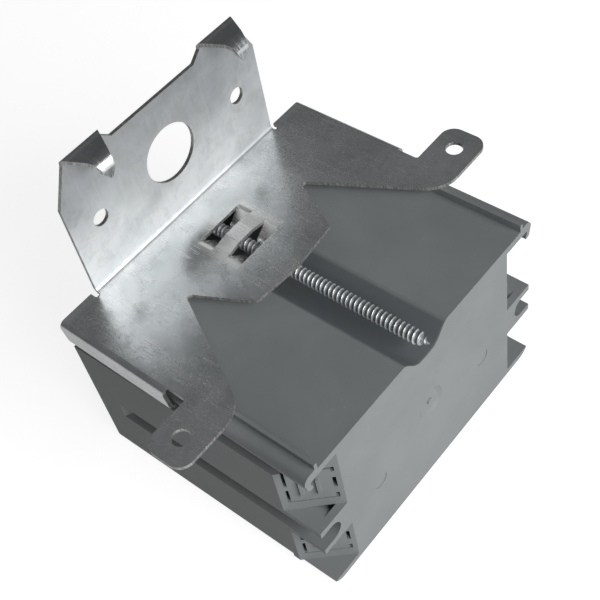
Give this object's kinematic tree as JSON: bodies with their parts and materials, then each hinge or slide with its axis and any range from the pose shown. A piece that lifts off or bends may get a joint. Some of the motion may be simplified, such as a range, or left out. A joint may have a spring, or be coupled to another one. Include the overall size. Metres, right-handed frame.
{
  "type": "adjustable switch box",
  "caption": "Adjustable wall box for a switch: open-front moulded box with a grooved side on which a folded steel bracket slides along rails, driven by a long screw.",
  "frame": {"origin": "in the resting face, at the middle of the length and of the depth", "axes": "+X along the height of the fitted box, +Y from the open rim to the closed back, +Z from the resting side wall to the bracket"},
  "size_m": [0.128, 0.0864, 0.1062],
  "materials": {
    "moulded_box": "satin moulded, dark blue-grey",
    "galvanised_sheet": "galvanised, mottled and lightly streaked",
    "plated_screw": "bright zinc plate"
  },
  "bodies": {
    "box": {"box_body": "moulded_box"},
    "bracket": {"bracket": "galvanised_sheet"},
    "screw": {"adjusting_screw": "plated_screw"}
  },
  "joints": [
    {"name": "bracket_slide", "type": "slide", "parent": "box", "child": "bracket", "axis": [0, 1, 0], "range_m": [0, 0.022]},
    {"name": "screw_turn", "type": "hinge", "parent": "box", "child": "screw", "pos_m": [0, -0.041, 0.05842], "axis": [0, 1, 0], "range_deg": [-5613, 0]}
  ],
  "couplings": [
    {"joint": "screw_turn", "follows": "bracket_slide", "rad_per_m": -4452.7}
  ]
}
